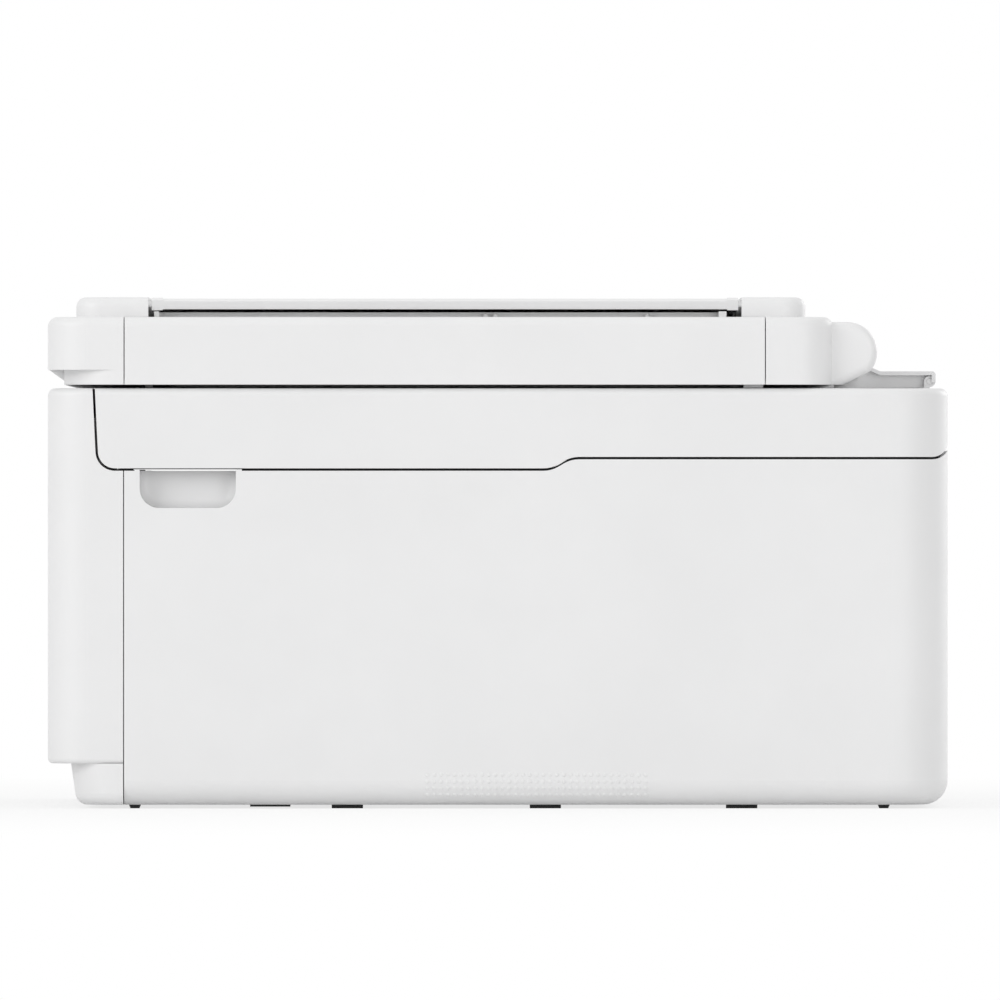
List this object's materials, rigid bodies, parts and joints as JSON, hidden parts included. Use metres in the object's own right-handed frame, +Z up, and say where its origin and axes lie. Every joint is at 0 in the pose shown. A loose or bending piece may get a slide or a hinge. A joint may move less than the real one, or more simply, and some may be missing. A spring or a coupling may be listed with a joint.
{
  "type": "inkjet printer",
  "caption": "Boxy all-in-one inkjet printer with a lifting scanner unit, flat document lid with sheet feeder, paper cassette, output tray and print engine.",
  "frame": {"origin": "on the table under the middle of the printer's outline", "axes": "+X to the printer's right seen from its front, +Y to its back, +Z up"},
  "size_m": [0.405, 0.37, 0.2101],
  "materials": {
    "shell": "fine satin moulding grain",
    "lower_shell": "satin",
    "inner_plastic": "satin",
    "guide_plastic": "satin",
    "gear_plastic": "semi-matt acetal",
    "key_plastic": "semi-gloss",
    "cartridge_plastic": "semi-gloss",
    "display": "glossy",
    "bed_glass": "polished",
    "backing": "matt foam sheet",
    "soft_rubber": "matt",
    "roller_rubber": "matt",
    "sheet_steel": "zinc-coated",
    "shaft_steel": "ground",
    "board": "solder resist",
    "absorber": "open-cell porous block"
  },
  "bodies": {
    "base": {"bottom_case": "lower_shell", "right_side_panel": "shell", "left_side_panel": "shell", "front_bezel": "shell", "rear_panel": "shell", "rubber_feet": "soft_rubber", "chassis_frame": "sheet_steel", "carriage_shaft": "shaft_steel", "platen": "inner_plastic", "purge_unit": "inner_plastic", "ink_absorber": "absorber", "power_supply": "inner_plastic", "logic_board": "board", "drive_motors": "sheet_steel", "carriage_belt": "soft_rubber", "pinch_rollers": "inner_plastic", "spur_holder": "inner_plastic", "rear_turn_guide": "inner_plastic", "rear_sockets": "inner_plastic"},
    "carriage": {"print_carriage": "inner_plastic", "ink_cartridges": "cartridge_plastic"},
    "latch_left": {"cartridge_latch_left": "guide_plastic"},
    "latch_right": {"cartridge_latch_right": "guide_plastic"},
    "drive_pulley": {"motor_pulley": "gear_plastic"},
    "return_pulley": {"idler_pulley": "gear_plastic"},
    "feed_roller": {"feed_roller": "shaft_steel", "feed_gear": "gear_plastic"},
    "exit_roller": {"exit_roller": "roller_rubber", "exit_gear": "gear_plastic"},
    "idler_gear": {"idler_gear": "gear_plastic"},
    "motor_pinion": {"motor_pinion": "gear_plastic"},
    "pickup_arm": {"pickup_arm": "inner_plastic"},
    "pickup_roller": {"pickup_roller": "roller_rubber"},
    "cassette": {"cassette": "shell"},
    "cassette_guide_right": {"cassette_guide_right": "guide_plastic"},
    "cassette_guide_left": {"cassette_guide_left": "guide_plastic"},
    "output_tray": {"output_tray": "shell"},
    "output_extension": {"output_extension": "shell"},
    "control_panel": {"control_panel": "shell", "display_window": "display"},
    "power_button": {"power_button": "key_plastic"},
    "ok_button": {"ok_button": "key_plastic"},
    "start_button": {"start_button": "key_plastic"},
    "stop_button": {"stop_button": "key_plastic"},
    "scanner": {"scanner_housing": "shell", "scanner_tub": "inner_plastic", "scan_glass": "bed_glass", "scan_rail": "shaft_steel"},
    "scan_bar": {"scan_bar": "inner_plastic"},
    "rear_cover": {"rear_tray_cover": "shell"},
    "lid": {"lid_frame": "shell", "lid_side_cover": "shell", "lid_base": "shell", "backing_pad": "backing", "document_floor": "lower_shell"},
    "document_tray": {"document_tray": "shell"},
    "feeder_cover": {"feeder_cover": "shell"},
    "feeder_roller": {"feeder_roller": "roller_rubber"},
    "document_guide_front": {"document_guide_front": "guide_plastic"},
    "document_guide_rear": {"document_guide_rear": "guide_plastic"}
  },
  "joints": [
    {"name": "scanner_lift", "type": "hinge", "parent": "base", "child": "scanner", "pos_m": [0, 0.1783, 0.1514], "axis": [-1, 0, 0], "range_deg": [0, 45]},
    {"name": "lid_open", "type": "hinge", "parent": "scanner", "child": "lid", "pos_m": [0, 0.1435, 0.1875], "axis": [-1, 0, 0], "range_deg": [0, 85]},
    {"name": "feeder_cover_open", "type": "hinge", "parent": "lid", "child": "feeder_cover", "pos_m": [-0.1836, 0, 0.2041], "axis": [0, -1, 0], "range_deg": [0, 75]},
    {"name": "document_tray_flip", "type": "hinge", "parent": "lid", "child": "document_tray", "pos_m": [0.1805, 0, 0.2073], "axis": [0, 1, 0], "range_deg": [0, 155]},
    {"name": "feeder_roller_spin", "type": "hinge", "parent": "lid", "child": "feeder_roller", "pos_m": [-0.136, 0, 0.1954], "axis": [0, 1, 0], "continuous": true},
    {"name": "document_guide_front_slide", "type": "slide", "parent": "lid", "child": "document_guide_front", "axis": [0, 1, 0], "range_m": [0, 0.05]},
    {"name": "document_guide_rear_slide", "type": "slide", "parent": "lid", "child": "document_guide_rear", "axis": [0, -1, 0], "range_m": [0, 0.05]},
    {"name": "rear_cover_open", "type": "hinge", "parent": "scanner", "child": "rear_cover", "pos_m": [0, 0.1782, 0.1756], "axis": [-1, 0, 0], "range_deg": [0, 100]},
    {"name": "scan_bar_travel", "type": "slide", "parent": "scanner", "child": "scan_bar", "axis": [1, 0, 0], "range_m": [0, 0.3]},
    {"name": "control_panel_tilt", "type": "hinge", "parent": "base", "child": "control_panel", "pos_m": [0, -0.1815, 0.157], "axis": [-1, 0, 0], "range_deg": [0, 40]},
    {"name": "output_tray_slide", "type": "slide", "parent": "base", "child": "output_tray", "axis": [0, -1, 0], "range_m": [0, 0.1]},
    {"name": "output_extension_slide", "type": "slide", "parent": "output_tray", "child": "output_extension", "axis": [0, -1, 0], "range_m": [0, 0.09]},
    {"name": "cassette_slide", "type": "slide", "parent": "base", "child": "cassette", "axis": [0, -1, 0], "range_m": [0, 0.25]},
    {"name": "cassette_guide_right_slide", "type": "slide", "parent": "cassette", "child": "cassette_guide_right", "axis": [-1, 0, 0], "range_m": [0, 0.057]},
    {"name": "cassette_guide_left_slide", "type": "slide", "parent": "cassette", "child": "cassette_guide_left", "axis": [1, 0, 0], "range_m": [0, 0.057]},
    {"name": "carriage_travel", "type": "slide", "parent": "base", "child": "carriage", "axis": [-1, 0, 0], "range_m": [0, 0.28]},
    {"name": "drive_pulley_spin", "type": "hinge", "parent": "base", "child": "drive_pulley", "pos_m": [0.172, 0, 0.124], "axis": [0, 1, 0], "range_deg": [0, 2657]},
    {"name": "return_pulley_spin", "type": "hinge", "parent": "base", "child": "return_pulley", "pos_m": [-0.172, 0, 0.124], "axis": [0, 1, 0], "range_deg": [0, 2657]},
    {"name": "latch_left_open", "type": "hinge", "parent": "carriage", "child": "latch_left", "pos_m": [0.1195, -0.0046, 0.11], "axis": [1, 0, 0], "range_deg": [0, 25]},
    {"name": "latch_right_open", "type": "hinge", "parent": "carriage", "child": "latch_right", "pos_m": [0.1605, -0.0046, 0.11], "axis": [1, 0, 0], "range_deg": [0, 25]},
    {"name": "feed_roller_spin", "type": "hinge", "parent": "base", "child": "feed_roller", "pos_m": [0, 0.032, 0.0825], "axis": [1, 0, 0], "continuous": true},
    {"name": "idler_gear_spin", "type": "hinge", "parent": "base", "child": "idler_gear", "pos_m": [-0.187, 0.0052, 0.0825], "axis": [1, 0, 0], "continuous": true},
    {"name": "exit_roller_spin", "type": "hinge", "parent": "base", "child": "exit_roller", "pos_m": [0, -0.02, 0.0825], "axis": [1, 0, 0], "continuous": true},
    {"name": "motor_pinion_spin", "type": "hinge", "parent": "base", "child": "motor_pinion", "pos_m": [-0.187, 0.0436, 0.06241], "axis": [1, 0, 0], "continuous": true},
    {"name": "pickup_arm_drop", "type": "hinge", "parent": "base", "child": "pickup_arm", "pos_m": [0, 0.074, 0.072], "axis": [-1, 0, 0], "range_deg": [0, 40], "stiffness_Nm_per_rad": 0.02, "springref_deg": -45.84},
    {"name": "pickup_roller_spin", "type": "hinge", "parent": "pickup_arm", "child": "pickup_roller", "pos_m": [0, 0.104, 0.068], "axis": [1, 0, 0], "continuous": true},
    {"name": "power_press", "type": "slide", "parent": "control_panel", "child": "power_button", "axis": [0, 1, 0], "range_m": [0, 0.0008], "stiffness_N_per_m": 400, "springref_m": -0.0005},
    {"name": "ok_press", "type": "slide", "parent": "control_panel", "child": "ok_button", "axis": [0, 1, 0], "range_m": [0, 0.0008], "stiffness_N_per_m": 400, "springref_m": -0.0005},
    {"name": "start_press", "type": "slide", "parent": "control_panel", "child": "start_button", "axis": [0, 1, 0], "range_m": [0, 0.0008], "stiffness_N_per_m": 400, "springref_m": -0.0005},
    {"name": "stop_press", "type": "slide", "parent": "control_panel", "child": "stop_button", "axis": [0, 1, 0], "range_m": [0, 0.0008], "stiffness_N_per_m": 400, "springref_m": -0.0005}
  ],
  "couplings": [
    {"joint": "document_guide_rear_slide", "follows": "document_guide_front_slide", "ratio": 1},
    {"joint": "cassette_guide_left_slide", "follows": "cassette_guide_right_slide", "ratio": 1},
    {"joint": "drive_pulley_spin", "follows": "carriage_travel", "rad_per_m": 165.29},
    {"joint": "return_pulley_spin", "follows": "carriage_travel", "rad_per_m": 165.29},
    {"joint": "idler_gear_spin", "follows": "feed_roller_spin", "ratio": -1.913},
    {"joint": "exit_roller_spin", "follows": "feed_roller_spin", "ratio": 1.1},
    {"joint": "motor_pinion_spin", "follows": "feed_roller_spin", "ratio": -3.1429}
  ]
}
